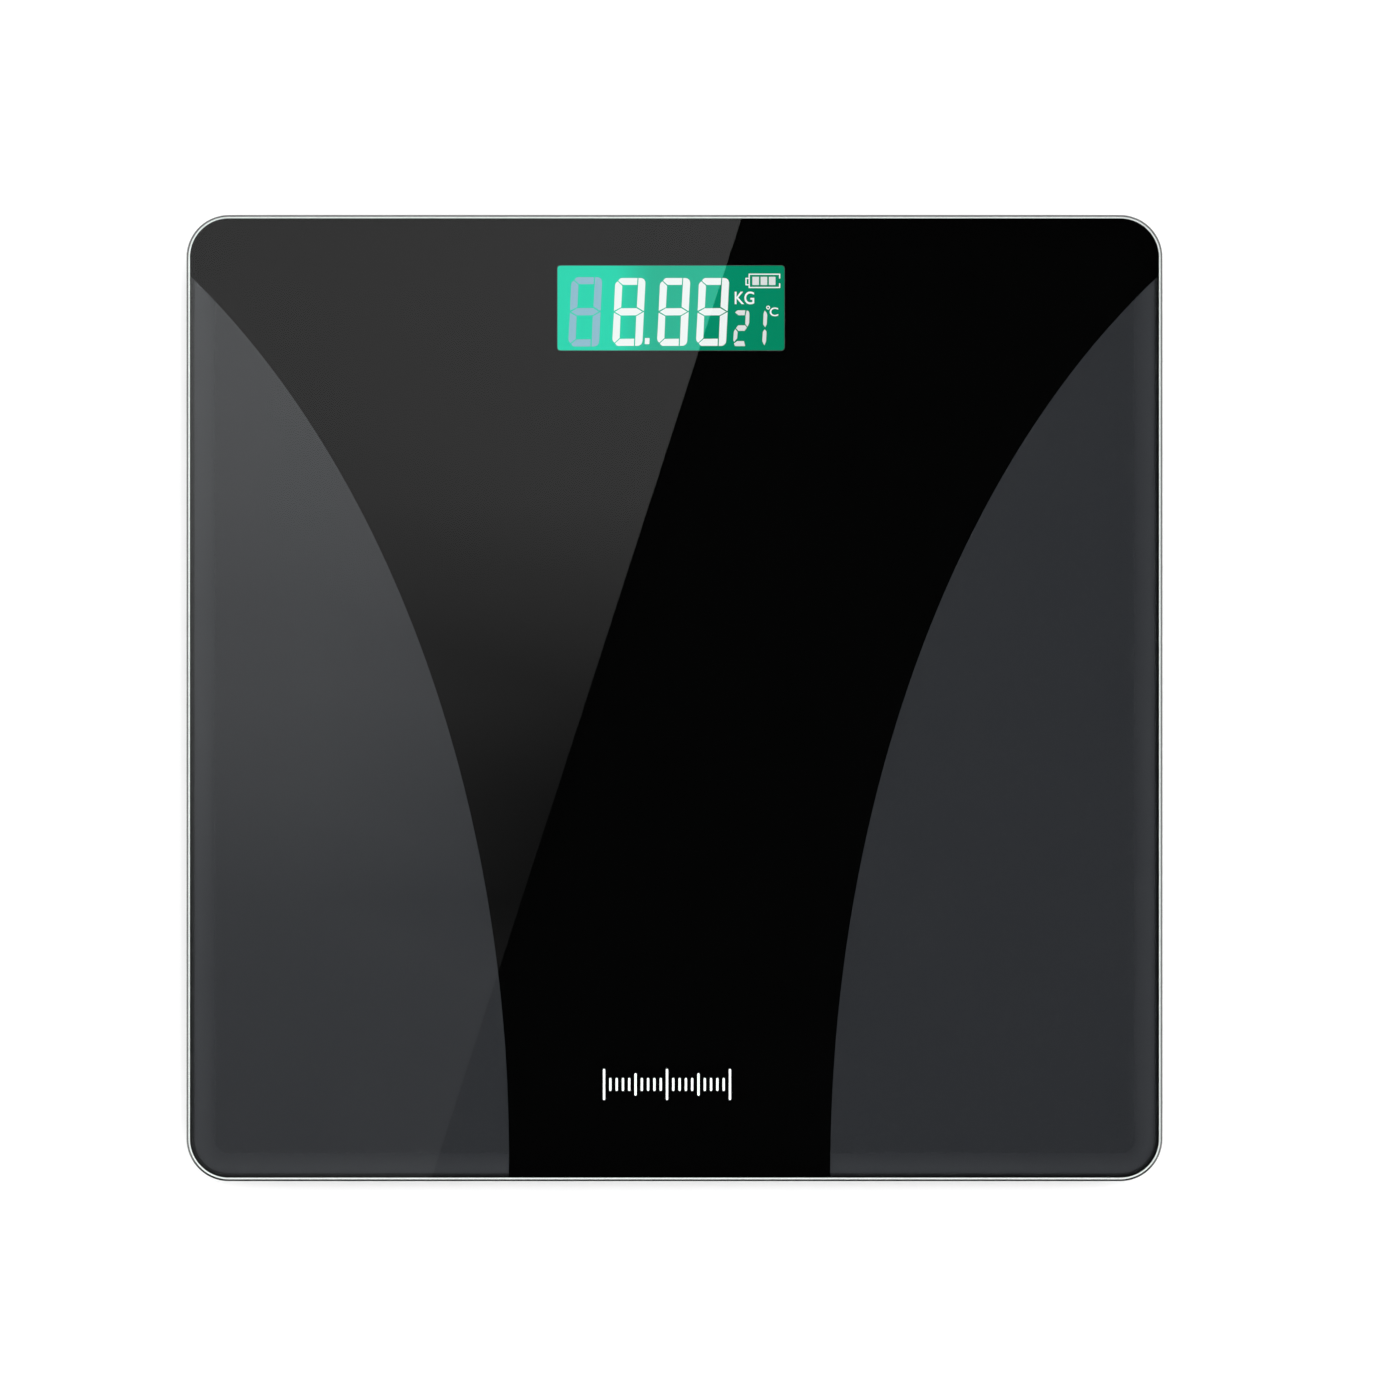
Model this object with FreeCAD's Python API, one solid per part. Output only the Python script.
"""Digital bathroom scale: a square glass platform over a moulded tray that stands on four load cells.

Millimetres. +Z is up, +X is to the user's right and +Y points from the user to the display.
The origin is on the floor, under the middle of the platform.
Front is the user's side and rear is the display's side.
"""

import FreeCAD, Part
import math
import os

# ---------------------------------------------------------------- driving dimensions

# Platform: tempered glass with ground and chamfered edges
PLATE_WIDTH = 300.0
PLATE_DEPTH = 297.0
PLATE_THICKNESS = 5.0
PLATE_CORNER_RADIUS = 13.0
PLATE_EDGE_CHAMFER = 0.45

# Printed film bonded under the glass, and the foam tape and pads that carry the glass
FILM_THICKNESS = 0.3
FILM_MARGIN = 0.5
TAPE_THICKNESS = 0.5
TAPE_MARGIN = 0.4

# Display window and its distance from the platform's rear edge to the window's middle
WINDOW_WIDTH = 70.1
WINDOW_DEPTH = 26.4
WINDOW_CORNER_RADIUS = 0.8
WINDOW_FROM_REAR = 28.6
WINDOW_SHIFT_X = -1.1

# Tray: a drafted pan with an outward rim at its top
TRAY_OVERHANG = 5.0
TRAY_RIM_WIDTH = 3.5
TRAY_RIM_THICKNESS = 2.0
TRAY_WALL = 2.2
TRAY_FLOOR = 2.0
TRAY_DRAFT = 2.5
TRAY_BOTTOM_ROUND = 2.5
TRAY_GROUND_CLEARANCE = 3.5
RIB_PITCH = 42.0
RIB_THICKNESS = 1.4
RIB_HEIGHT = 3.0

# Feet
FOOT_INSET = 42.0
FOOT_RADIUS = 19.0
FOOT_DISC_THICKNESS = 3.6
FOOT_EDGE_ROUND = 0.8
FOOT_TRAVEL = 0.5
FOOT_NECK_RADIUS = 11.8
FOOT_NECK_WALL = 2.0
FOOT_PIN_RADIUS = 4.0
FOOT_BARB_REACH = 1.6
FOOT_BARB_HEIGHT = 0.8
FOOT_BARB_GAP = 0.2
FOOT_BARB_SLOT = 14.0
PAD_RADIUS = 17.0
PAD_THICKNESS = 1.8
PAD_RECESS = 0.8
PAD_GROOVE_WIDTH = 1.2
PAD_GROOVE_DEPTH = 0.5
PAD_GROOVE_COUNT = 4
WELL_SIDE_GAP = 1.0
WELL_ROOF_GAP = 1.1
WELL_ROOF = 2.0
WELL_WALL = 2.0
NECK_CLEARANCE = 0.6

# Load cells and the caps that press the glass's weight on them
CELL_SIDE = 34.0
CELL_THICKNESS = 1.6
CELL_CORNER_RADIUS = 3.0
CELL_TONGUE_WIDTH = 12.0
CELL_TONGUE_LENGTH = 18.0
CELL_SLOT = 2.5
CELL_GAP = 0.5
CELL_CLEARANCE = 0.3
CAP_WALL = 2.6
CAP_LEDGE = 3.5
CAP_ROOF = 1.8
CAP_TAB_THICKNESS = 0.8
CAP_TAB_REACH = 1.3
CAP_TAB_LENGTH = 10.0
GAUGE_WIDTH = 11.0
GAUGE_LENGTH = 9.0
GAUGE_HEIGHT = 2.6
GAUGE_OFFSET = 6.0

# Leads
LEAD_RADIUS = 1.2
BATTERY_LEAD_RADIUS = 0.6
LEAD_SLOT_WIDTH = 4.0
CLIP_LENGTH = 3.0
CLIP_THICKNESS = 1.2
LEAD_CLEARANCE = 0.1

# Batteries: two AAA cells side by side, lying along X
BATTERY_RADIUS = 5.25
BATTERY_LENGTH = 44.5
BATTERY_NUB_RADIUS = 1.9
BATTERY_NUB_HEIGHT = 1.2
BATTERY_ROW_GAP = 1.3
BATTERY_SIDE_GAP = 0.4
BATTERY_FROM_DISPLAY = 59.2
BOX_WALL = 1.5
BOX_ROOF = 1.2
SPRING_LENGTH = 4.7
SPRING_WIRE_RADIUS = 0.3
SPRING_RADIUS = 3.2
SPRING_TURNS = 3
SPRING_WIRE_FLATS = 12
CONTACT_THICKNESS = 0.4

# Battery door, its two hinge tabs and its spring latch
DOOR_THICKNESS = 1.6
DOOR_LEDGE = 2.6
DOOR_GAP = 0.3
DOOR_SEAT_GAP = 0.2
DOOR_TAB_WIDTH = 7.4
DOOR_TAB_REACH = 2.0
DOOR_TAB_THICKNESS = 1.3
DOOR_TAB_SPACING = 32.0
LATCH_ZONE = 5.2
LATCH_WIDTH = 10.0
LATCH_LEAF = 1.0
LATCH_HEIGHT = 4.5
LATCH_NOSE = 0.8
LATCH_NOTCH_DEPTH = 9.0

# Display stack, from the film down
GASKET_THICKNESS = 0.5
LCD_FRONT_THICKNESS = 1.1
LCD_REAR_THICKNESS = 1.3
LCD_BORDER = 2.0
LCD_REAR_BORDER = 1.6
LCD_CONTACT_BORDER = 4.2
GUIDE_THICKNESS = 3.0
REFLECTOR_THICKNESS = 0.3
LED_LENGTH = 1.4
ZEBRA_THICKNESS = 2.0
HOLDER_SIDE_WALL = 3.9
HOLDER_END_WALL = 1.2
HOLDER_CLEARANCE = 0.15

# Circuit board
PCB_THICKNESS = 1.2
PCB_SIDE_MARGIN = 9.0
PCB_FRONT_MARGIN = 12.0
PCB_CLEARANCE = 0.1
POST_RADIUS = 3.0
POST_INSET = 3.6
CONNECTOR_WIDTH = 6.0
CONNECTOR_LENGTH = 5.0
CONNECTOR_HEIGHT = 4.2
CONNECTOR_INSET = 11.0

# Screws
SCREW_RADIUS = 1.0
SCREW_HEAD_RADIUS = 1.9
SCREW_HEAD_HEIGHT = 1.3
PCB_SCREW_LENGTH = 4.5
HOLDER_SCREW_LENGTH = 4.6
SCREW_CLEARANCE = 0.05
SCREW_HOLE_CLEARANCE = 0.3

# Unit button and the switch that it presses
BUTTON_RADIUS = 4.0
BUTTON_GAP = 0.35
BUTTON_FLANGE = 1.2
BUTTON_FLANGE_THICKNESS = 0.9
BUTTON_TRAVEL = 0.4
BUTTON_RECESS = 0.4
BUTTON_DISH = 3.0
SWITCH_SIDE = 6.0
SWITCH_HEIGHT = 2.4
SWITCH_PLUNGER_RADIUS = 1.6
SWITCH_PLUNGER_REACH = 0.8

# Label
LABEL_WIDTH = 62.0
LABEL_DEPTH = 36.0
LABEL_THICKNESS = 0.12
LABEL_RECESS = 0.3
LABEL_FROM_MIDDLE = 30.0

# ---------------------------------------------------------------- levels worked out from them

foot_bottom = PAD_THICKNESS - PAD_RECESS
foot_top = foot_bottom + FOOT_DISC_THICKNESS
well_roof_bottom = foot_top + FOOT_TRAVEL + WELL_ROOF_GAP
well_roof_top = well_roof_bottom + WELL_ROOF
barb_bottom = well_roof_top + FOOT_BARB_GAP
barb_top = barb_bottom + FOOT_BARB_HEIGHT
cell_bottom = barb_top + FOOT_TRAVEL + CELL_GAP
cell_top = cell_bottom + CELL_THICKNESS

tray_bottom = TRAY_GROUND_CLEARANCE
floor_top = tray_bottom + TRAY_FLOOR
rib_top = floor_top + RIB_HEIGHT
door_top = tray_bottom + DOOR_THICKNESS
box_bottom = door_top + DOOR_SEAT_GAP
battery_z = box_bottom + BATTERY_RADIUS
cavity_top = battery_z + BATTERY_RADIUS + DOOR_SEAT_GAP
box_top = cavity_top + BOX_ROOF
tray_top = box_top - DOOR_SEAT_GAP
film_bottom = tray_top + TAPE_THICKNESS
glass_bottom = film_bottom + FILM_THICKNESS
glass_top = glass_bottom + PLATE_THICKNESS

lcd_top = film_bottom - GASKET_THICKNESS
lcd_middle = lcd_top - LCD_FRONT_THICKNESS
lcd_bottom = lcd_middle - LCD_REAR_THICKNESS
guide_bottom = lcd_bottom - GUIDE_THICKNESS
pcb_top = guide_bottom - REFLECTOR_THICKNESS - PCB_CLEARANCE
pcb_bottom = pcb_top - PCB_THICKNESS
connector_z = pcb_top + CONNECTOR_HEIGHT / 2
lead_rest_z = rib_top + LEAD_RADIUS + LEAD_CLEARANCE
gauge_lead_z = cell_top + GAUGE_HEIGHT / 2

# Outlines in plan
rim_width = PLATE_WIDTH - 2 * TRAY_OVERHANG
rim_depth = PLATE_DEPTH - 2 * TRAY_OVERHANG
rim_radius = PLATE_CORNER_RADIUS - TRAY_OVERHANG / 2
body_width = rim_width - 2 * TRAY_RIM_WIDTH
body_depth = rim_depth - 2 * TRAY_RIM_WIDTH
body_radius = rim_radius - TRAY_RIM_WIDTH / 2
foot_x = PLATE_WIDTH / 2 - FOOT_INSET
foot_y = PLATE_DEPTH / 2 - FOOT_INSET
well_radius = FOOT_RADIUS + WELL_SIDE_GAP
well_outer_radius = well_radius + WELL_WALL
cap_half = CELL_SIDE / 2 + CELL_CLEARANCE + CAP_WALL

# Display and circuit board in plan
display_x = WINDOW_SHIFT_X
display_y = PLATE_DEPTH / 2 - WINDOW_FROM_REAR
lcd_half_width = WINDOW_WIDTH / 2 + LCD_BORDER
lcd_rear_edge = display_y + WINDOW_DEPTH / 2 + LCD_REAR_BORDER
lcd_front_edge = display_y - WINDOW_DEPTH / 2 - LCD_CONTACT_BORDER
guide_front_edge = lcd_front_edge + ZEBRA_THICKNESS + 5 * HOLDER_CLEARANCE
holder_half_width = lcd_half_width + HOLDER_CLEARANCE + HOLDER_SIDE_WALL
holder_rear_edge = lcd_rear_edge + HOLDER_CLEARANCE + HOLDER_END_WALL
holder_front_edge = lcd_front_edge - HOLDER_CLEARANCE - HOLDER_END_WALL
pcb_half_width = holder_half_width + PCB_SIDE_MARGIN
pcb_rear_edge = holder_rear_edge - 3 * HOLDER_CLEARANCE
pcb_front_edge = holder_front_edge - PCB_FRONT_MARGIN
holder_screw_x = holder_half_width - HOLDER_SIDE_WALL / 2
holder_screw_inset = 3.0
button_x = display_x - WINDOW_WIDTH * 0.37
button_y = pcb_front_edge + PCB_FRONT_MARGIN / 2

# Battery compartment in plan
battery_pitch = 2 * BATTERY_RADIUS + BATTERY_ROW_GAP
battery_x = 0.0
battery_y = display_y - BATTERY_FROM_DISPLAY
cavity_half_width = (BATTERY_LENGTH + SPRING_LENGTH) / 2 + CONTACT_THICKNESS
cavity_half_depth = battery_pitch / 2 + BATTERY_RADIUS + BATTERY_SIDE_GAP
door_half_width = cavity_half_width + DOOR_LEDGE
door_hinge_y = battery_y - cavity_half_depth - DOOR_LEDGE
door_free_y = battery_y + cavity_half_depth + BOX_WALL + LATCH_ZONE
latch_leaf_y = battery_y + cavity_half_depth + BOX_WALL + 0.22 * LATCH_ZONE
latch_tip_y = door_free_y - DOOR_GAP - LATCH_LEAF
latch_pocket_y = door_free_y + DOOR_GAP + LATCH_NOSE

CORNERS = {
    "front_left": (-1, -1),
    "front_right": (1, -1),
    "rear_left": (-1, 1),
    "rear_right": (1, 1),
}


# ---------------------------------------------------------------- shape helpers


def vec(x, y, z):
    """A point or direction."""
    return FreeCAD.Vector(x, y, z)


def box(x0, x1, y0, y1, z0, z1):
    """A box between two corners."""
    return Part.makeBox(x1 - x0, y1 - y0, z1 - z0, vec(x0, y0, z0))


def cylinder(radius, z0, z1, x=0.0, y=0.0):
    """An upright cylinder."""
    return Part.makeCylinder(radius, z1 - z0, vec(x, y, z0))


def ring(outer, inner, z0, z1, x=0.0, y=0.0):
    """An upright tube."""
    return cylinder(outer, z0, z1, x, y).cut(cylinder(inner, z0, z1, x, y))


def rounded_wire(width, depth, radius, z, x=0.0, y=0.0):
    """A rectangle with round corners, as a wire at height z."""
    w, d, r = width / 2, depth / 2, radius
    k = r * (1 - math.sqrt(0.5))
    corners = [
        ((w - r, -d), (w - k, -d + k), (w, -d + r)),
        ((w, d - r), (w - k, d - k), (w - r, d)),
        ((-w + r, d), (-w + k, d - k), (-w, d - r)),
        ((-w, -d + r), (-w + k, -d + k), (-w + r, -d)),
    ]
    points = [[vec(x + px, y + py, z) for px, py in corner] for corner in corners]
    edges = []
    for i, (start, middle, end) in enumerate(points):
        previous_end = points[i - 1][2]
        edges.append(Part.LineSegment(previous_end, start).toShape())
        edges.append(Part.Arc(start, middle, end).toShape())
    return Part.Wire(edges)


def slab(width, depth, radius, z0, z1, x=0.0, y=0.0):
    """A flat plate with round corners."""
    face = Part.Face(rounded_wire(width, depth, radius, z0, x, y))
    return face.extrude(vec(0, 0, z1 - z0))


def drafted_slab(width, depth, radius, inset, z0, z1):
    """A plate with round corners whose bottom is smaller than its top by inset on each side."""
    bottom = rounded_wire(width - 2 * inset, depth - 2 * inset, radius, z0)
    top = rounded_wire(width, depth, radius, z1)
    return Part.makeLoft([bottom, top], True, True)


def edges_at(shape, z):
    """The edges of shape that lie flat at height z."""
    flat = []
    for edge in shape.Edges:
        if abs(edge.BoundBox.ZMin - z) < 1e-4 and abs(edge.BoundBox.ZMax - z) < 1e-4:
            flat.append(edge)
    return flat


def fused(shapes):
    """One solid from several that overlap or touch."""
    whole = shapes[0].multiFuse(shapes[1:]) if len(shapes) > 1 else shapes[0]
    return whole.removeSplitter()


def turned(shape, degrees, x, y):
    """A copy of shape turned about the upright axis at x, y."""
    copy = shape.copy()
    copy.rotate(vec(x, y, 0), vec(0, 0, 1), degrees)
    return copy


def lead_exit_angle(side_x, side_y):
    """How far a corner's load cell is turned: the front leads leave to the rear, the rear ones inwards."""
    return 0.0 if side_y < 0 else 90.0 * side_x


def route_edges(points):
    """Straight runs joined by tangent arcs, each as large as its two runs allow."""
    edges = []
    radii = []
    start = points[0]
    for before, corner, after in zip(points, points[1:], points[2:]):
        run_in = corner - before
        run_out = after - corner
        reach = 0.45 * min(run_in.Length, run_out.Length)
        into = vec(*run_in).normalize()
        out = vec(*run_out).normalize()
        half_turn = into.getAngle(out) / 2
        radius = reach / math.tan(half_turn)
        arc_start = corner - into * reach
        arc_end = corner + out * reach
        inward = (out - into).normalize()
        arc_middle = corner + inward * (math.hypot(radius, reach) - radius)
        edges.append(Part.LineSegment(start, arc_start).toShape())
        edges.append(Part.Arc(arc_start, arc_middle, arc_end).toShape())
        radii.append(radius)
        start = arc_end
    edges.append(Part.LineSegment(start, points[-1]).toShape())
    return edges, radii


def lead(name, points, radius):
    """A round lead along a route, with its arcs' radii and its volume printed."""
    edges, radii = route_edges(points)
    path = Part.Wire(edges)
    circle = Part.makeCircle(radius, points[0], points[1] - points[0])
    tube = path.makePipeShell([Part.Wire([circle])], True, False)
    expected = math.pi * radius**2 * path.Length
    smallest = min(radii)
    print(f"{name}: {path.Length:.1f} long, smallest arc {smallest:.1f}, volume {tube.Volume / expected:.4f}")
    return tube


def pan_head_screw(x, y, seat_z, length, up):
    """A cross-recessed screw. Its head seats at seat_z and its shank points up or down."""
    way = 1 if up else -1
    head_far = seat_z - way * SCREW_HEAD_HEIGHT
    tip = seat_z + way * length
    shank = cylinder(SCREW_RADIUS, min(seat_z, tip), max(seat_z, tip), x, y)
    head = cylinder(SCREW_HEAD_RADIUS, min(seat_z, head_far), max(seat_z, head_far), x, y)
    head = head.makeFillet(0.5, edges_at(head, head_far))
    screw = shank.fuse(head)
    arm, half_slot, depth = 1.1, 0.22, 0.6
    low, high = sorted((head_far, head_far + way * depth))
    cross = box(x - arm, x + arm, y - half_slot, y + half_slot, low, high)
    cross = cross.fuse(box(x - half_slot, x + half_slot, y - arm, y + arm, low, high))
    return screw.cut(cross)


# ---------------------------------------------------------------- platform


def glass_platform():
    """Tempered glass plate with both edges chamfered all round."""
    plate = slab(PLATE_WIDTH, PLATE_DEPTH, PLATE_CORNER_RADIUS, glass_bottom, glass_top)
    edges = edges_at(plate, glass_top) + edges_at(plate, glass_bottom)
    return plate.makeChamfer(PLATE_EDGE_CHAMFER, edges)


def backing_film():
    """Printed film under the glass, open at the display window."""
    margin = 2 * FILM_MARGIN
    radius = PLATE_CORNER_RADIUS - FILM_MARGIN
    film = slab(PLATE_WIDTH - margin, PLATE_DEPTH - margin, radius, film_bottom, glass_bottom)
    window = slab(
        WINDOW_WIDTH, WINDOW_DEPTH, WINDOW_CORNER_RADIUS, film_bottom, glass_bottom, display_x, display_y
    )
    return film.cut(window)


def foam_tape_ring():
    """Double-sided foam tape on the tray's rim."""
    margin = 2 * TAPE_MARGIN
    outer = slab(rim_width - margin, rim_depth - margin, rim_radius - TAPE_MARGIN, tray_top, film_bottom)
    inset = 2 * (TRAY_WALL - TAPE_MARGIN)
    inner = slab(body_width - inset, body_depth - inset, body_radius - TRAY_WALL / 2, tray_top, film_bottom)
    return outer.cut(inner)


def adhesive_pads():
    """Four pads that bond the load-cell caps to the film."""
    side = 2 * cap_half - 2.0
    pads = []
    for side_x, side_y in CORNERS.values():
        pads.append(slab(side, side, 5.0, tray_top, film_bottom, side_x * foot_x, side_y * foot_y))
    return Part.makeCompound(pads)


# ---------------------------------------------------------------- corner stations


def sensor_cap(side_x, side_y):
    """Stiff cap under the glass that bears on a load cell's outer frame, with two tabs under the cell."""
    x, y = side_x * foot_x, side_y * foot_y
    skirt_bottom = cell_bottom - CAP_TAB_THICKNESS
    body = slab(2 * cap_half, 2 * cap_half, 6.0, skirt_bottom, tray_top, x, y)
    pocket_side = CELL_SIDE + 2 * CELL_CLEARANCE
    pocket_radius = CELL_CORNER_RADIUS + CELL_CLEARANCE
    pocket = slab(pocket_side, pocket_side, pocket_radius, skirt_bottom, cell_top, x, y)
    chamber_side = CELL_SIDE - 2 * CAP_LEDGE
    chamber = slab(chamber_side, chamber_side, 3.0, cell_top, tray_top - CAP_ROOF, x, y)
    slot_half = LEAD_SLOT_WIDTH / 2
    slot_top = cell_top + GAUGE_HEIGHT
    slot = box(x - slot_half, x + slot_half, y, y + cap_half, cell_top, slot_top)
    cap = body.cut(pocket).cut(chamber).cut(slot)
    tabs = []
    for way in (-1, 1):
        wall = x + way * pocket_side / 2
        near, far = sorted((wall + way * 0.5, wall - way * CAP_TAB_REACH))
        half = CAP_TAB_LENGTH / 2
        tabs.append(box(near, far, y - half, y + half, skirt_bottom, cell_bottom))
    cap = fused([cap] + tabs)
    return turned(cap, lead_exit_angle(side_x, side_y), x, y)


def load_cell(side_x, side_y):
    """Steel bending plate: an outer frame and a tongue that the foot's pin lifts."""
    x, y = side_x * foot_x, side_y * foot_y
    plate = slab(CELL_SIDE, CELL_SIDE, CELL_CORNER_RADIUS, cell_bottom, cell_top, x, y)
    half_width = CELL_TONGUE_WIDTH / 2
    half_length = CELL_TONGUE_LENGTH / 2
    opening = box(
        x - half_width - CELL_SLOT,
        x + half_width + CELL_SLOT,
        y - half_length - CELL_SLOT,
        y + half_length,
        cell_bottom,
        cell_top,
    )
    tongue = box(x - half_width, x + half_width, y - half_length, y + half_length, cell_bottom, cell_top)
    cell = plate.cut(opening.cut(tongue))
    rivet_offset = CELL_SIDE / 2 - CELL_CORNER_RADIUS - 0.5
    for way_x in (-1, 1):
        for way_y in (-1, 1):
            hole = cylinder(1.2, cell_bottom, cell_top, x + way_x * rivet_offset, y + way_y * rivet_offset)
            cell = cell.cut(hole)
    return turned(cell, lead_exit_angle(side_x, side_y), x, y)


def strain_gauge(side_x, side_y):
    """Silicone-coated gauge on the tongue's root."""
    x, y = side_x * foot_x, side_y * foot_y
    coat = slab(
        GAUGE_WIDTH, GAUGE_LENGTH, 2.0, cell_top, cell_top + GAUGE_HEIGHT, x, y + GAUGE_OFFSET
    )
    coat = coat.makeFillet(0.7, edges_at(coat, cell_top + GAUGE_HEIGHT))
    return turned(coat, lead_exit_angle(side_x, side_y), x, y)


def foot(side_x, side_y):
    """Moulded foot: a disc, a neck with three snap barbs, and a middle pin that bears on the load cell."""
    x, y = side_x * foot_x, side_y * foot_y
    disc = cylinder(FOOT_RADIUS, foot_bottom, foot_top, x, y)
    rim_edges = edges_at(disc, foot_bottom) + edges_at(disc, foot_top)
    disc = disc.makeFillet(FOOT_EDGE_ROUND, rim_edges)
    disc = disc.cut(cylinder(PAD_RADIUS + LEAD_CLEARANCE, foot_bottom, foot_bottom + PAD_RECESS, x, y))
    neck = ring(FOOT_NECK_RADIUS, FOOT_NECK_RADIUS - FOOT_NECK_WALL, foot_top, barb_top, x, y)
    barbs = ring(
        FOOT_NECK_RADIUS + FOOT_BARB_REACH, FOOT_NECK_RADIUS - FOOT_NECK_WALL, barb_bottom, barb_top, x, y
    )
    collar = neck.fuse(barbs)
    half_slot = FOOT_BARB_SLOT / 2
    outer = FOOT_NECK_RADIUS + FOOT_BARB_REACH
    for angle in (0, 120, 240):
        slot = box(x, x + outer + 1, y - half_slot, y + half_slot, foot_top + 1.0, barb_top)
        collar = collar.cut(turned(slot, angle, x, y))
    pin = cylinder(FOOT_PIN_RADIUS, foot_top, cell_bottom, x, y)
    pin = pin.makeFillet(0.5, edges_at(pin, cell_bottom))
    return fused([disc, collar, pin])


def rubber_pad(side_x, side_y):
    """Non-slip pad in the foot's recess, with ring grooves in its tread."""
    x, y = side_x * foot_x, side_y * foot_y
    pad = cylinder(PAD_RADIUS, 0, PAD_THICKNESS, x, y)
    pad = pad.makeFillet(0.4, edges_at(pad, 0))
    pitch = PAD_RADIUS / (PAD_GROOVE_COUNT + 0.75)
    for i in range(1, PAD_GROOVE_COUNT + 1):
        middle = i * pitch
        outer = middle + PAD_GROOVE_WIDTH / 2
        inner = middle - PAD_GROOVE_WIDTH / 2
        pad = pad.cut(ring(outer, inner, 0, PAD_GROOVE_DEPTH, x, y))
    return pad


def connector_place(side_x, side_y):
    """Middle of a corner's connector on the board, and the direction its lead leaves in."""
    if side_y < 0:
        x = display_x + side_x * (pcb_half_width - CONNECTOR_INSET)
        return x, pcb_front_edge + CONNECTOR_LENGTH / 2 + 0.5, (0, -1)
    x = display_x + side_x * (pcb_half_width - CONNECTOR_LENGTH / 2 - 0.5)
    return x, holder_front_edge + 1.0, (side_x, 0)


def lead_route(side_x, side_y):
    """Route of a corner's three-core lead, from its strain gauge to its connector."""
    x, y = side_x * foot_x, side_y * foot_y
    end_x, end_y, (out_x, out_y) = connector_place(side_x, side_y)
    tip = vec(end_x + out_x * CONNECTOR_LENGTH / 2, end_y + out_y * CONNECTOR_LENGTH / 2, connector_z)
    face = GAUGE_OFFSET + GAUGE_LENGTH / 2
    if side_y < 0:
        span = tip.y - y
        return [
            vec(x, y + face, gauge_lead_z),
            vec(x, y + cap_half + 9.0, gauge_lead_z),
            vec(x + side_x * 1.5, y + cap_half + 30.0, lead_rest_z),
            vec(x - side_x * 3.0, y + span * 0.48, lead_rest_z),
            vec(x - side_x * 19.0, y + span * 0.70, lead_rest_z),
            vec(x - side_x * 46.0, y + span * 0.86, lead_rest_z + 0.4),
            vec(tip.x, tip.y - 14.0, connector_z),
            tip,
        ]
    return [
        vec(x - side_x * face, y, gauge_lead_z),
        vec(x - side_x * (cap_half + 8.0), y, gauge_lead_z),
        vec(tip.x + side_x * 12.0, tip.y, connector_z),
        tip,
    ]


def clip_posts(a, b):
    """Two posts with inward lips that hold a lead in the middle of its run from a to b."""
    middle = (a + b) * 0.5
    heading = math.degrees(math.atan2(b.y - a.y, b.x - a.x))
    inner = LEAD_RADIUS + LEAD_CLEARANCE
    outer = inner + CLIP_THICKNESS
    half = CLIP_LENGTH / 2
    lip_bottom = middle.z + LEAD_RADIUS + LEAD_CLEARANCE
    posts = []
    for way in (-1, 1):
        near, far = sorted((way * inner, way * outer))
        posts.append(box(-half, half, near, far, floor_top - 0.5, lip_bottom + 0.8))
        near, far = sorted((way * (inner - 0.7), way * outer))
        posts.append(box(-half, half, near, far, lip_bottom, lip_bottom + 0.8))
    seat = box(-half, half, -outer, outer, floor_top - 0.5, middle.z - LEAD_RADIUS - LEAD_CLEARANCE)
    clip = fused(posts + [seat])
    clip.rotate(vec(0, 0, 0), vec(0, 0, 1), heading)
    clip.translate(vec(middle.x, middle.y, 0))
    return clip


# ---------------------------------------------------------------- tray


def tray_shell():
    """Drafted pan with a rounded bottom edge and a flat rim for the tape."""
    outer = drafted_slab(body_width, body_depth, body_radius, TRAY_DRAFT, tray_bottom, tray_top)
    outer = outer.makeFillet(TRAY_BOTTOM_ROUND, edges_at(outer, tray_bottom))
    rim = slab(rim_width, rim_depth, rim_radius, tray_top - TRAY_RIM_THICKNESS, tray_top)
    floor_share = (floor_top - tray_bottom) / (tray_top - tray_bottom)
    hollow = drafted_slab(
        body_width - 2 * TRAY_WALL,
        body_depth - 2 * TRAY_WALL,
        body_radius - TRAY_WALL / 2,
        TRAY_DRAFT * (1 - floor_share),
        floor_top,
        tray_top,
    )
    return fused([outer, rim]).cut(hollow)


def floor_ribs():
    """Low stiffening lattice on the floor, clear of the battery box and the board."""
    limit_x = body_width / 2 - TRAY_DRAFT - TRAY_WALL
    limit_y = body_depth / 2 - TRAY_DRAFT - TRAY_WALL
    half = RIB_THICKNESS / 2
    low = floor_top - 0.5
    lattice = []
    for i in range(-int(limit_x // RIB_PITCH), int(limit_x // RIB_PITCH) + 1):
        lattice.append(box(i * RIB_PITCH - half, i * RIB_PITCH + half, -limit_y, limit_y, low, rib_top))
    for i in range(-int(limit_y // RIB_PITCH), int(limit_y // RIB_PITCH) + 1):
        lattice.append(box(-limit_x, limit_x, i * RIB_PITCH - half, i * RIB_PITCH + half, low, rib_top))
    ribs = fused(lattice)
    board_side = pcb_half_width + 2.0
    board = box(
        display_x - board_side,
        display_x + board_side,
        pcb_front_edge - 2.0,
        limit_y + 1.0,
        floor_top,
        rib_top,
    )
    batteries = box(
        -door_half_width - 1.0,
        door_half_width + 1.0,
        door_hinge_y - DOOR_TAB_REACH - 2.0,
        door_free_y + LATCH_NOTCH_DEPTH,
        floor_top,
        rib_top,
    )
    ribs = ribs.cut(board).cut(batteries)
    for side_x, side_y in CORNERS.values():
        ribs = ribs.cut(cylinder(well_radius, low, rib_top, side_x * foot_x, side_y * foot_y))
    return ribs


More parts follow.
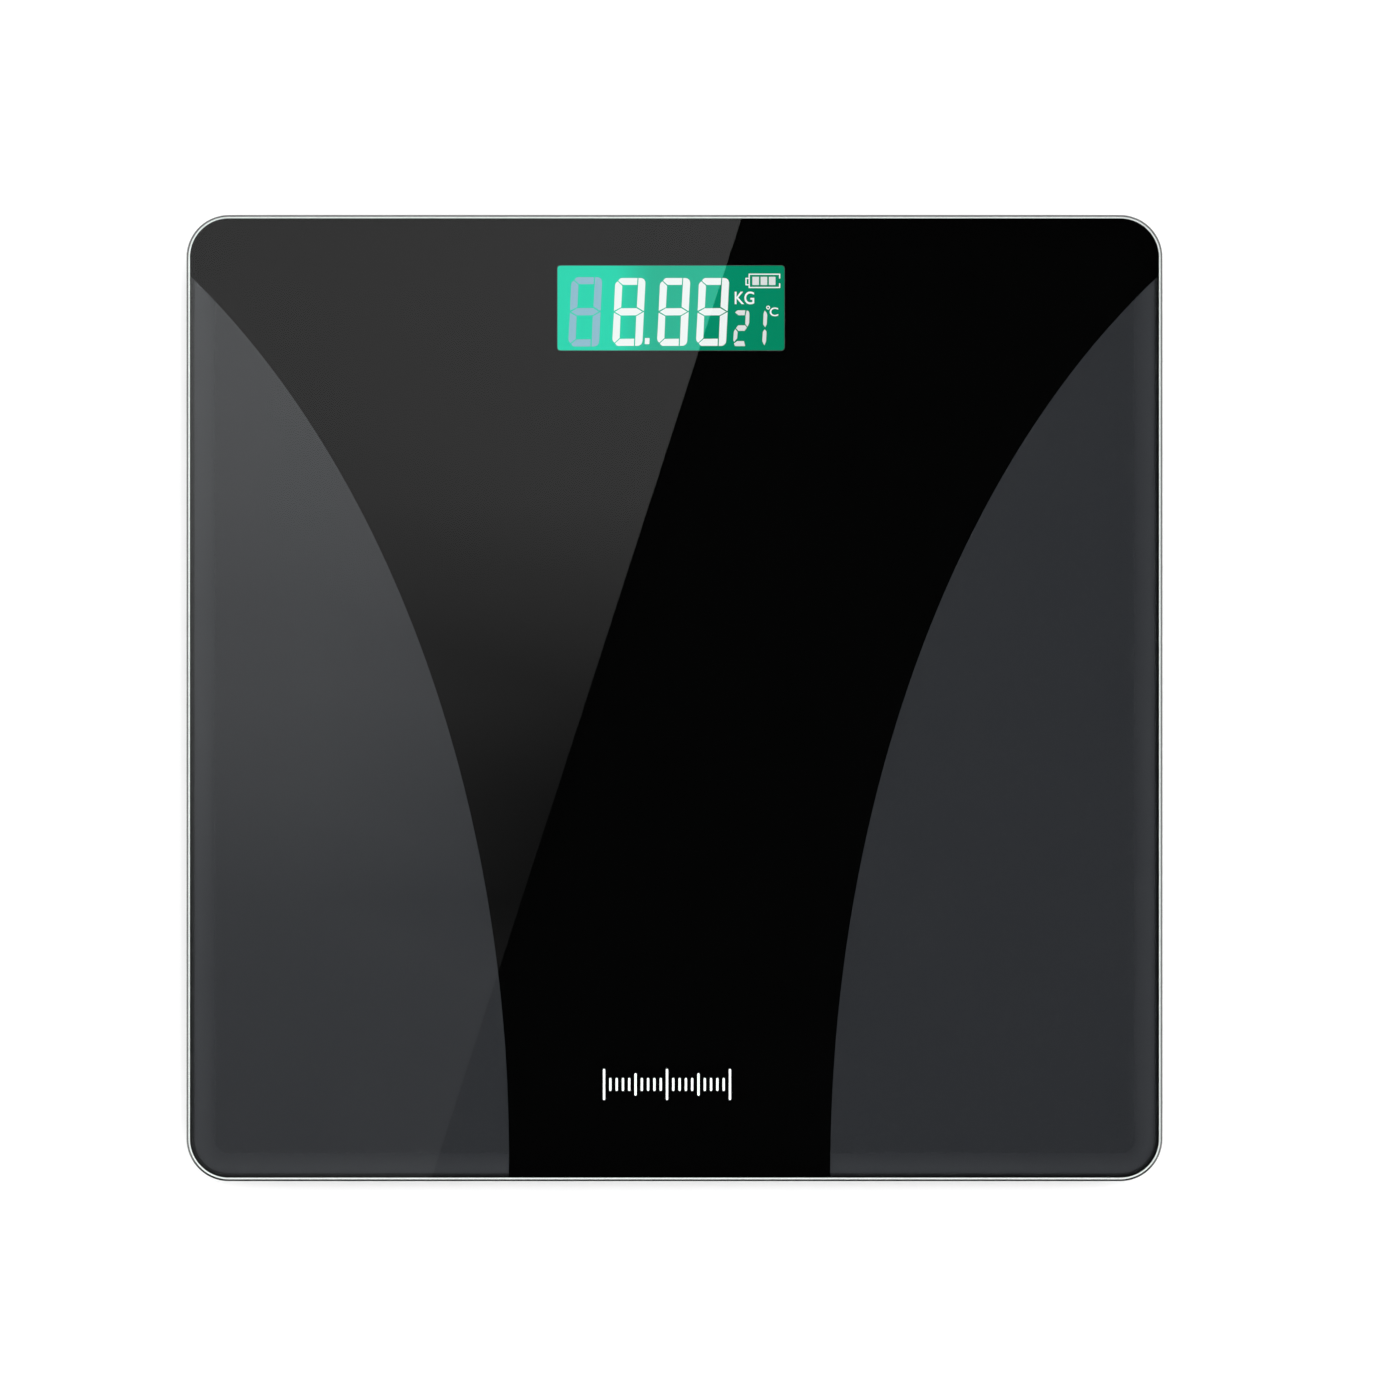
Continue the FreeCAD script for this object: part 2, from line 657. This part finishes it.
def battery_box():
    """Walls and roof of the battery compartment, with a pocket for the door's latch."""
    outer_half = door_half_width + DOOR_GAP + BOX_WALL
    body = box(
        battery_x - outer_half,
        battery_x + outer_half,
        door_hinge_y + 0.4,
        latch_pocket_y + BOX_WALL,
        box_bottom,
        box_top,
    )
    cavity = box(
        battery_x - cavity_half_width,
        battery_x + cavity_half_width,
        battery_y - cavity_half_depth,
        battery_y + cavity_half_depth,
        box_bottom,
        cavity_top,
    )
    wall_y = battery_y + cavity_half_depth + BOX_WALL
    pocket_half = LATCH_WIDTH / 2 + 3.0
    latch_pocket = box(
        battery_x - pocket_half,
        battery_x + pocket_half,
        wall_y,
        latch_pocket_y,
        floor_top,
        box_top,
    )
    cores = []
    for way in (-1, 1):
        near, far = sorted((way * (pocket_half + BOX_WALL), way * (outer_half - BOX_WALL)))
        cores.append(
            box(
                battery_x + near,
                battery_x + far,
                wall_y,
                latch_pocket_y,
                box_bottom + BOX_WALL,
                box_top,
            )
        )
    shell = body.cut(cavity).cut(latch_pocket).cut(Part.makeCompound(cores))
    for way in (-1, 1):
        middle = battery_x + way * DOOR_TAB_SPACING / 2
        half = DOOR_TAB_WIDTH / 2 + 0.5
        far = door_hinge_y + 2.2
        relief = box(middle - half, middle + half, door_hinge_y, far, box_bottom, box_bottom + 1.8)
        shell = shell.cut(relief)
    for y in battery_rows():
        half = BATTERY_LEAD_RADIUS + 0.6
        lead_hole = box(
            battery_x + cavity_half_width,
            battery_x + outer_half,
            y - half,
            y + half,
            battery_z + 1.4 - half,
            battery_z + 1.4 + half,
        )
        shell = shell.cut(lead_hole)
    return shell


def door_opening():
    """What is cut from the floor for the door, its tabs and the fingernail notch at its latch."""
    half = door_half_width + DOOR_GAP
    cuts = [
        box(
            battery_x - half,
            battery_x + half,
            door_hinge_y - DOOR_GAP,
            door_free_y + DOOR_GAP,
            tray_bottom,
            box_bottom,
        ),
        box(
            battery_x - cavity_half_width,
            battery_x + cavity_half_width,
            battery_y - cavity_half_depth,
            battery_y + cavity_half_depth,
            tray_bottom,
            floor_top,
        ),
    ]
    pocket_half = LATCH_WIDTH / 2 + 3.0
    wall_y = battery_y + cavity_half_depth + BOX_WALL
    cuts.append(
        box(
            battery_x - pocket_half,
            battery_x + pocket_half,
            wall_y,
            door_free_y + DOOR_GAP,
            tray_bottom,
            floor_top,
        )
    )
    gap_end = door_hinge_y + 0.4
    cuts.append(
        box(battery_x - half, battery_x + half, door_hinge_y - DOOR_GAP, gap_end, tray_bottom, floor_top)
    )
    for way in (-1, 1):
        middle = battery_x + way * DOOR_TAB_SPACING / 2
        tab_half = DOOR_TAB_WIDTH / 2 + 0.5
        tab_far = door_hinge_y - DOOR_TAB_REACH - 0.6
        seat = door_top - 0.5 - DOOR_SEAT_GAP
        cuts.append(box(middle - tab_half, middle + tab_half, tab_far, door_hinge_y + 2.2, seat, floor_top))
    notch_half = LATCH_WIDTH / 2 + 1.5
    notch_far = door_free_y + DOOR_GAP + LATCH_NOTCH_DEPTH - notch_half
    notch = box(
        battery_x - notch_half,
        battery_x + notch_half,
        door_free_y,
        notch_far,
        tray_bottom,
        tray_bottom + 1.0,
    )
    notch = notch.fuse(cylinder(notch_half, tray_bottom, tray_bottom + 1.0, battery_x, notch_far))
    cuts.append(notch)
    return cuts


def board_posts():
    """Middles of the four posts that carry the circuit board."""
    inset = pcb_half_width - POST_INSET
    places = []
    for side_x in (-1, 1):
        for y in (pcb_front_edge + POST_INSET, pcb_rear_edge - POST_INSET):
            places.append((display_x + side_x * inset, y))
    return places


def vent_slots():
    """Slots in the floor under the board that let room air reach the thermistor."""
    slots = []
    for i in range(4):
        x = display_x + holder_half_width - 17.0 + i * 3.4
        slots.append(slab(1.4, 9.0, 0.69, tray_bottom, floor_top, x, button_y))
    return slots


def base_tray():
    """The moulded base: shell, foot wells, ribs, battery box, board posts and lead clips."""
    additions = [tray_shell(), floor_ribs(), battery_box()]
    cuts = door_opening() + vent_slots()
    for side_x, side_y in CORNERS.values():
        x, y = side_x * foot_x, side_y * foot_y
        additions.append(cylinder(well_outer_radius, tray_bottom, well_roof_top, x, y))
        cuts.append(cylinder(well_radius, tray_bottom, well_roof_bottom, x, y))
        cuts.append(cylinder(FOOT_NECK_RADIUS + NECK_CLEARANCE, well_roof_bottom, well_roof_top, x, y))
    for x, y in board_posts():
        additions.append(cylinder(POST_RADIUS, floor_top - 0.5, pcb_bottom, x, y))
        pilot_bottom = pcb_top - PCB_SCREW_LENGTH - 0.3
        cuts.append(cylinder(SCREW_RADIUS + SCREW_CLEARANCE, pilot_bottom, pcb_bottom, x, y))
    for side_x in (-1, 1):
        route = lead_route(side_x, -1)
        for i in (2, 3, 4):
            additions.append(clip_posts(route[i], route[i + 1]))
    label_y = -LABEL_FROM_MIDDLE
    cuts.append(
        slab(LABEL_WIDTH + 1.0, LABEL_DEPTH + 1.0, 2.5, tray_bottom, tray_bottom + LABEL_RECESS, 0, label_y)
    )
    cuts.append(cylinder(BUTTON_RADIUS + BUTTON_GAP, tray_bottom, floor_top, button_x, button_y))
    dish = Part.makeCone(
        BUTTON_RADIUS + BUTTON_DISH, BUTTON_RADIUS + BUTTON_GAP, 1.0, vec(button_x, button_y, tray_bottom)
    )
    cuts.append(dish)
    tray = fused(additions)
    for cut in cuts:
        tray = tray.cut(cut)
    return tray.removeSplitter()


# ---------------------------------------------------------------- battery door


def battery_door():
    """Flush hatch with two hinge tabs, finger grips and a cut-out for its latch."""
    door = box(
        battery_x - door_half_width,
        battery_x + door_half_width,
        door_hinge_y,
        door_free_y,
        tray_bottom,
        door_top,
    )
    upright = []
    for edge in door.Edges:
        if edge.BoundBox.ZLength > DOOR_THICKNESS / 2 and edge.BoundBox.YMin > door_hinge_y + 1:
            upright.append(edge)
    door = door.makeFillet(1.5, upright)
    tabs = []
    for way in (-1, 1):
        middle = battery_x + way * DOOR_TAB_SPACING / 2
        half = DOOR_TAB_WIDTH / 2
        low = door_top - 0.5
        far = door_hinge_y - DOOR_TAB_REACH
        tabs.append(box(middle - half, middle + half, far, door_hinge_y + 1.2, low, low + DOOR_TAB_THICKNESS))
    door = fused([door] + tabs)
    cutout_half = LATCH_WIDTH / 2 + 1.0
    cutout_y = latch_tip_y - 0.7
    door = door.cut(
        box(
            battery_x - cutout_half, battery_x + cutout_half, cutout_y, door_free_y, tray_bottom, door_top
        )
    )
    for i in range(5):
        y = battery_y + i * 2.6
        groove = slab(20.0, 1.0, 0.49, tray_bottom, tray_bottom + 0.5, battery_x, y)
        door = door.cut(groove)
    return door


def battery_door_latch():
    """U-shaped spring leaf at the door's free edge, whose nose catches the tray's floor."""
    half = LATCH_WIDTH / 2
    bend_z = door_top + LATCH_HEIGHT
    root = latch_leaf_y
    tip = latch_tip_y
    middle = (root + tip + LATCH_LEAF) / 2
    outer = (tip + LATCH_LEAF - root) / 2
    leaf_in = box(battery_x - half, battery_x + half, root, root + LATCH_LEAF, door_top, bend_z)
    leaf_out = box(battery_x - half, battery_x + half, tip, tip + LATCH_LEAF, tray_bottom + 0.5, bend_z)
    start = vec(battery_x - half, middle, bend_z)
    along = vec(1, 0, 0)
    bend = Part.makeCylinder(outer, LATCH_WIDTH, start, along)
    bend = bend.cut(Part.makeCylinder(outer - LATCH_LEAF, LATCH_WIDTH, start, along))
    lower_half = box(battery_x - half, battery_x + half, root, tip + LATCH_LEAF, bend_z - outer, bend_z)
    bend = bend.cut(lower_half)
    face_y = tip + LATCH_LEAF
    nose_low = floor_top + DOOR_SEAT_GAP
    nose_points = [
        vec(battery_x - half, face_y, nose_low),
        vec(battery_x - half, face_y + LATCH_NOSE, nose_low),
        vec(battery_x - half, face_y, nose_low + 1.6),
        vec(battery_x - half, face_y, nose_low),
    ]
    nose = Part.Face(Part.makePolygon(nose_points)).extrude(vec(LATCH_WIDTH, 0, 0))
    return fused([leaf_in, leaf_out, bend, nose])


# ---------------------------------------------------------------- batteries and contacts


def battery_rows():
    """The two cells' places in Y."""
    return battery_y - battery_pitch / 2, battery_y + battery_pitch / 2


def battery(y, nub_way):
    """A dry cell lying along X, with its nub towards nub_way."""
    plate_x = battery_x + nub_way * (cavity_half_width - CONTACT_THICKNESS)
    shoulder_x = plate_x - nub_way * BATTERY_NUB_HEIGHT
    end_x = plate_x - nub_way * BATTERY_LENGTH
    axis = vec(nub_way, 0, 0)
    body_length = BATTERY_LENGTH - BATTERY_NUB_HEIGHT
    can = Part.makeCylinder(BATTERY_RADIUS - 0.05, body_length, vec(end_x, y, battery_z), axis)
    ends = [edge for edge in can.Edges if isinstance(edge.Curve, Part.Circle)]
    can = can.makeFillet(0.5, ends)
    nub_start = vec(shoulder_x, y, battery_z)
    nub = Part.makeCylinder(BATTERY_NUB_RADIUS, BATTERY_NUB_HEIGHT, nub_start, axis)
    return can.fuse(nub).removeSplitter()


def contact_plates():
    """Nickelled plates: one joins both cells, and two carry the leads."""
    face = cavity_half_width - CONTACT_THICKNESS
    bottom = battery_z - 4.2
    top = battery_z + 4.2
    half_pitch = battery_pitch / 2
    joining = box(
        battery_x - cavity_half_width,
        battery_x - face,
        battery_y - half_pitch - 4.4,
        battery_y + half_pitch + 4.4,
        bottom,
        top,
    )
    plates = [joining]
    for y in battery_rows():
        plates.append(box(battery_x + face, battery_x + cavity_half_width, y - 4.4, y + 4.4, bottom, top))
    return Part.makeCompound(plates)


def contact_springs():
    """Coil springs that press each cell's flat end, of twelve-sided wire. The second is the first turned round."""
    height = SPRING_LENGTH - 2 * SPRING_WIRE_RADIUS - 0.1
    helix = Part.makeHelix(height / SPRING_TURNS, height, SPRING_RADIUS)
    section = []
    for i in range(SPRING_WIRE_FLATS + 1):
        angle = 2 * math.pi * i / SPRING_WIRE_FLATS
        across = SPRING_WIRE_RADIUS * math.cos(angle)
        section.append(vec(SPRING_RADIUS + across, 0, SPRING_WIRE_RADIUS * math.sin(angle)))
    coil = Part.Wire(helix).makePipeShell([Part.makePolygon(section)], True, True)
    coil.rotate(vec(0, 0, 0), vec(0, 1, 0), 90)
    plate_x = battery_x - cavity_half_width + CONTACT_THICKNESS
    coil.translate(vec(plate_x + SPRING_WIRE_RADIUS + 0.05, battery_rows()[0], battery_z))
    return Part.makeCompound([coil, turned(coil, 180, battery_x, battery_y)])


def battery_lead_route(row):
    """Route of a battery lead from its contact plate, round the battery box, to its joint on the board."""
    y = battery_rows()[row]
    start_x = battery_x + cavity_half_width
    side_x = battery_x + door_half_width + DOOR_GAP + BOX_WALL
    lift = battery_z + 1.4
    pad_x, pad_y = battery_joints()[row]
    pad_z = pcb_top + BATTERY_LEAD_RADIUS + LEAD_CLEARANCE
    if row == 0:
        return [
            vec(start_x, y, lift),
            vec(side_x + 5.6, y, lift),
            vec(side_x + 5.0, y + 14.4, (lift + pad_z) / 2 - 0.5),
            vec(side_x + 6.2, y + 27.9, pad_z + 0.3),
            vec(pad_x + 8.0, pad_y, pad_z),
            vec(pad_x, pad_y, pad_z),
        ]
    return [
        vec(start_x, y, lift),
        vec(side_x + 3.8, y, lift),
        vec(side_x + 3.0, y + 13.1, pad_z + 0.2),
        vec(pad_x + 8.0, pad_y, pad_z),
        vec(pad_x, pad_y, pad_z),
    ]


# ---------------------------------------------------------------- circuit board


def main_pcb():
    """Glass-fibre board with holes for its own screws and for the display holder's."""
    middle_y = (pcb_front_edge + pcb_rear_edge) / 2
    depth = pcb_rear_edge - pcb_front_edge
    board = slab(2 * pcb_half_width, depth, 1.0, pcb_bottom, pcb_top, display_x, middle_y)
    hole = SCREW_RADIUS + SCREW_HOLE_CLEARANCE
    for x, y in board_posts() + holder_screw_places():
        board = board.cut(cylinder(hole, pcb_bottom, pcb_top, x, y))
    return board


def holder_screw_places():
    """Middles of the four screws that hold the display holder to the board."""
    places = []
    for side_x in (-1, 1):
        for y in (holder_front_edge + holder_screw_inset, holder_rear_edge - holder_screw_inset):
            places.append((display_x + side_x * holder_screw_x, y))
    return places


def controller_chip():
    """Bare controller die under a drop of black epoxy."""
    x, y = display_x - 4.0, button_y
    drop = cylinder(4.0, pcb_top, pcb_top + 1.3, x, y)
    return drop.makeFillet(1.0, edges_at(drop, pcb_top + 1.3))


def adc_chip():
    """Converter chip for the load cells, with gull-wing pins along two sides."""
    x, y = display_x + 9.0, button_y
    body = box(x - 5.0, x + 5.0, y - 2.0, y + 2.0, pcb_top + 0.15, pcb_top + 1.65)
    pins = []
    for i in range(8):
        pin_x = x - 4.45 + i * 1.27
        pins.append(box(pin_x - 0.2, pin_x + 0.2, y - 3.0, y + 3.0, pcb_top, pcb_top + 0.3))
    return fused([body] + pins)


def pcb_components():
    """Small resistors and capacitors, and the solder joints of the battery leads."""
    parts = []
    for i in range(6):
        x = display_x - 20.0 + i * 2.2
        parts.append(box(x - 0.6, x + 0.6, button_y + 2.2, button_y + 4.4, pcb_top, pcb_top + 0.6))
    for i in range(3):
        x = display_x - 19.0 + i * 4.0
        parts.append(box(x - 1.0, x + 1.0, button_y - 4.2, button_y - 2.9, pcb_top, pcb_top + 0.8))
    for pad_x, pad_y in battery_joints():
        parts.append(box(pad_x - 1.6, pad_x, pad_y - 1.1, pad_y + 1.1, pcb_top, pcb_top + 1.5))
    return Part.makeCompound(parts)


def battery_joints():
    """Where the front and rear contacts' leads meet their solder joints."""
    front = (display_x + 23.1, pcb_front_edge + 4.3)
    rear = (display_x + 20.1, pcb_front_edge + 1.5)
    return front, rear


def crystal_can():
    """Quartz crystal lying on the board."""
    x, y = display_x - 15.5, button_y - 0.6
    can = Part.makeCylinder(1.0, 6.2, vec(x - 3.1, y, pcb_top + 1.0), vec(1, 0, 0))
    ends = [edge for edge in can.Edges if isinstance(edge.Curve, Part.Circle)]
    return can.makeFillet(0.3, ends)


def thermistor():
    """Glass-bead thermistor above the vent slots, on two legs."""
    x = display_x + holder_half_width - 12.0
    y = button_y + 1.5
    bead = Part.makeSphere(1.3, vec(x, y, pcb_top + 2.6))
    legs = []
    for way in (-1, 1):
        legs.append(cylinder(0.25, pcb_top, pcb_top + 2.4, x + way * 0.8, y))
    return fused([bead] + legs)


def cell_connectors():
    """Four white pin headers, one for each load cell's lead."""
    headers = []
    for side_x, side_y in CORNERS.values():
        x, y, (out_x, out_y) = connector_place(side_x, side_y)
        half_x = (CONNECTOR_LENGTH if out_x else CONNECTOR_WIDTH) / 2
        half_y = (CONNECTOR_LENGTH if out_y else CONNECTOR_WIDTH) / 2
        header = box(x - half_x, x + half_x, y - half_y, y + half_y, pcb_top, pcb_top + CONNECTOR_HEIGHT)
        well = box(
            x - half_x + 0.8,
            x + half_x - 0.8,
            y - half_y + 0.8,
            y + half_y - 0.8,
            pcb_top + CONNECTOR_HEIGHT - 1.2,
            pcb_top + CONNECTOR_HEIGHT,
        )
        headers.append(header.cut(well))
    return Part.makeCompound(headers)


def screws(places, seat_z, length, up):
    """A group of equal screws."""
    return Part.makeCompound([pan_head_screw(x, y, seat_z, length, up) for x, y in places])


# ---------------------------------------------------------------- unit button


def tact_switch():
    """Push switch under the board, with a bore for its plunger."""
    half = SWITCH_SIDE / 2
    bottom = pcb_bottom - SWITCH_HEIGHT
    body = box(button_x - half, button_x + half, button_y - half, button_y + half, bottom, pcb_bottom)
    bore = cylinder(
        SWITCH_PLUNGER_RADIUS + 0.1,
        bottom,
        bottom + SWITCH_PLUNGER_REACH + BUTTON_TRAVEL,
        button_x,
        button_y,
    )
    return body.cut(bore)


def switch_plunger():
    """Round plunger that stands out of the switch."""
    bottom = pcb_bottom - SWITCH_HEIGHT
    return cylinder(
        SWITCH_PLUNGER_RADIUS,
        bottom - SWITCH_PLUNGER_REACH,
        bottom + SWITCH_PLUNGER_REACH / 2,
        button_x,
        button_y,
    )


def unit_button():
    """Button that changes the unit: a domed cap through the floor and a flange that keeps it in."""
    top = pcb_bottom - SWITCH_HEIGHT - SWITCH_PLUNGER_REACH
    cap_bottom = tray_bottom + BUTTON_RECESS
    cap = cylinder(BUTTON_RADIUS, cap_bottom, top, button_x, button_y)
    cap = cap.makeFillet(0.6, edges_at(cap, cap_bottom))
    flange_bottom = floor_top + 0.1
    flange_top = flange_bottom + BUTTON_FLANGE_THICKNESS
    flange = cylinder(BUTTON_RADIUS + BUTTON_FLANGE, flange_bottom, flange_top, button_x, button_y)
    return cap.fuse(flange).removeSplitter()


# ---------------------------------------------------------------- display


def lcd_sheet(front_edge, z0, z1):
    """A sheet of the display's glass."""
    x0, x1 = display_x - lcd_half_width, display_x + lcd_half_width
    return box(x0, x1, front_edge, lcd_rear_edge, z0, z1)


def lcd_gasket():
    """Foam frame that keeps dust out between the film and the display."""
    outer = lcd_sheet(lcd_front_edge, lcd_top, film_bottom)
    inner = slab(WINDOW_WIDTH + 1.2, WINDOW_DEPTH + 1.2, 1.2, lcd_top, film_bottom, display_x, display_y)
    return outer.cut(inner)


def backlight_guide():
    """Clear light guide behind the display, lit from its left end."""
    x0 = display_x - lcd_half_width + LED_LENGTH + HOLDER_CLEARANCE
    x1 = display_x + lcd_half_width
    return box(x0, x1, guide_front_edge, lcd_rear_edge, guide_bottom, lcd_bottom)


def backlight_reflector():
    """White film under the light guide."""
    x0 = display_x - lcd_half_width + LED_LENGTH + HOLDER_CLEARANCE
    x1 = display_x + lcd_half_width
    return box(x0, x1, guide_front_edge, lcd_rear_edge, guide_bottom - REFLECTOR_THICKNESS, guide_bottom)


def backlight_leds():
    """Two green light-emitting diodes at the guide's left end."""
    x0 = display_x - lcd_half_width
    leds = []
    for share in (0.28, 0.72):
        y = guide_front_edge + share * (lcd_rear_edge - guide_front_edge)
        leds.append(box(x0, x0 + LED_LENGTH, y - 1.5, y + 1.5, pcb_top, pcb_top + 2.4))
    return Part.makeCompound(leds)


def zebra_strip():
    """Conductive rubber strip from the board to the display's contact edge."""
    half = WINDOW_WIDTH / 2 - 2.0
    y0 = lcd_front_edge + HOLDER_CLEARANCE
    return box(display_x - half, display_x + half, y0, y0 + ZEBRA_THICKNESS, pcb_top, lcd_middle)


def lcd_holder():
    """Frame on the board that locates the display and its light guide."""
    z1 = lcd_top - 0.1
    outer = box(
        display_x - holder_half_width,
        display_x + holder_half_width,
        holder_front_edge,
        holder_rear_edge,
        pcb_top,
        z1,
    )
    inner_half = lcd_half_width + HOLDER_CLEARANCE
    inner = box(
        display_x - inner_half,
        display_x + inner_half,
        lcd_front_edge - HOLDER_CLEARANCE,
        lcd_rear_edge + HOLDER_CLEARANCE,
        pcb_top,
        z1,
    )
    frame = outer.cut(inner)
    depth = HOLDER_SCREW_LENGTH - PCB_THICKNESS + 0.3
    for x, y in holder_screw_places():
        pilot = cylinder(SCREW_RADIUS + SCREW_CLEARANCE, pcb_top, pcb_top + depth, x, y)
        frame = frame.cut(pilot)
    return frame


def blank_label():
    """Plain label in its shallow recess under the tray."""
    top = tray_bottom + LABEL_RECESS
    return slab(LABEL_WIDTH, LABEL_DEPTH, 2.0, top - LABEL_THICKNESS, top, 0, -LABEL_FROM_MIDDLE)


# ---------------------------------------------------------------- assembly


def all_parts():
    """Every node's name and shape."""
    rows = battery_rows()
    parts = {
        "glass_platform": glass_platform(),
        "backing_film": backing_film(),
        "foam_tape_ring": foam_tape_ring(),
        "adhesive_pads": adhesive_pads(),
        "base_tray": base_tray(),
        "blank_label": blank_label(),
        "battery_door": battery_door(),
        "battery_door_latch": battery_door_latch(),
        "battery_front": battery(rows[0], 1),
        "battery_rear": battery(rows[1], -1),
        "contact_plates": contact_plates(),
        "contact_springs": contact_springs(),
        "battery_lead_red": lead("battery_lead_red", battery_lead_route(0), BATTERY_LEAD_RADIUS),
        "battery_lead_black": lead("battery_lead_black", battery_lead_route(1), BATTERY_LEAD_RADIUS),
        "main_pcb": main_pcb(),
        "controller_chip": controller_chip(),
        "adc_chip": adc_chip(),
        "pcb_components": pcb_components(),
        "crystal_can": crystal_can(),
        "thermistor": thermistor(),
        "cell_connectors": cell_connectors(),
        "pcb_screws": screws(board_posts(), pcb_top, PCB_SCREW_LENGTH, up=False),
        "tact_switch": tact_switch(),
        "switch_plunger": switch_plunger(),
        "unit_button": unit_button(),
        "lcd_gasket": lcd_gasket(),
        "lcd_front_glass": lcd_sheet(lcd_front_edge, lcd_middle, lcd_top),
        "lcd_rear_glass": lcd_sheet(guide_front_edge, lcd_bottom, lcd_middle),
        "backlight_guide": backlight_guide(),
        "backlight_reflector": backlight_reflector(),
        "backlight_leds": backlight_leds(),
        "zebra_strip": zebra_strip(),
        "lcd_holder": lcd_holder(),
        "holder_screws": screws(holder_screw_places(), pcb_bottom, HOLDER_SCREW_LENGTH, up=True),
    }
    for corner, (side_x, side_y) in CORNERS.items():
        parts[f"sensor_cap_{corner}"] = sensor_cap(side_x, side_y)
        parts[f"load_cell_{corner}"] = load_cell(side_x, side_y)
        parts[f"strain_gauge_{corner}"] = strain_gauge(side_x, side_y)
        parts[f"foot_{corner}"] = foot(side_x, side_y)
        parts[f"rubber_pad_{corner}"] = rubber_pad(side_x, side_y)
        parts[f"sensor_lead_{corner}"] = lead(
            f"sensor_lead_{corner}", lead_route(side_x, side_y), LEAD_RADIUS
        )
    return parts


def main():
    """Writes one STEP file for each node."""
    os.makedirs("parts", exist_ok=True)
    for name, shape in all_parts().items():
        if not shape.isValid() or not shape.Solids:
            raise ValueError(f"{name} is not a valid solid")
        shape.exportStep(f"parts/{name}.step")
        print(f"{name}: {len(shape.Solids)} solids, {shape.Volume:.1f} mm3")
    print(f"top of the glass at {glass_top:.2f}, tray rim at {tray_top:.2f}")


main()
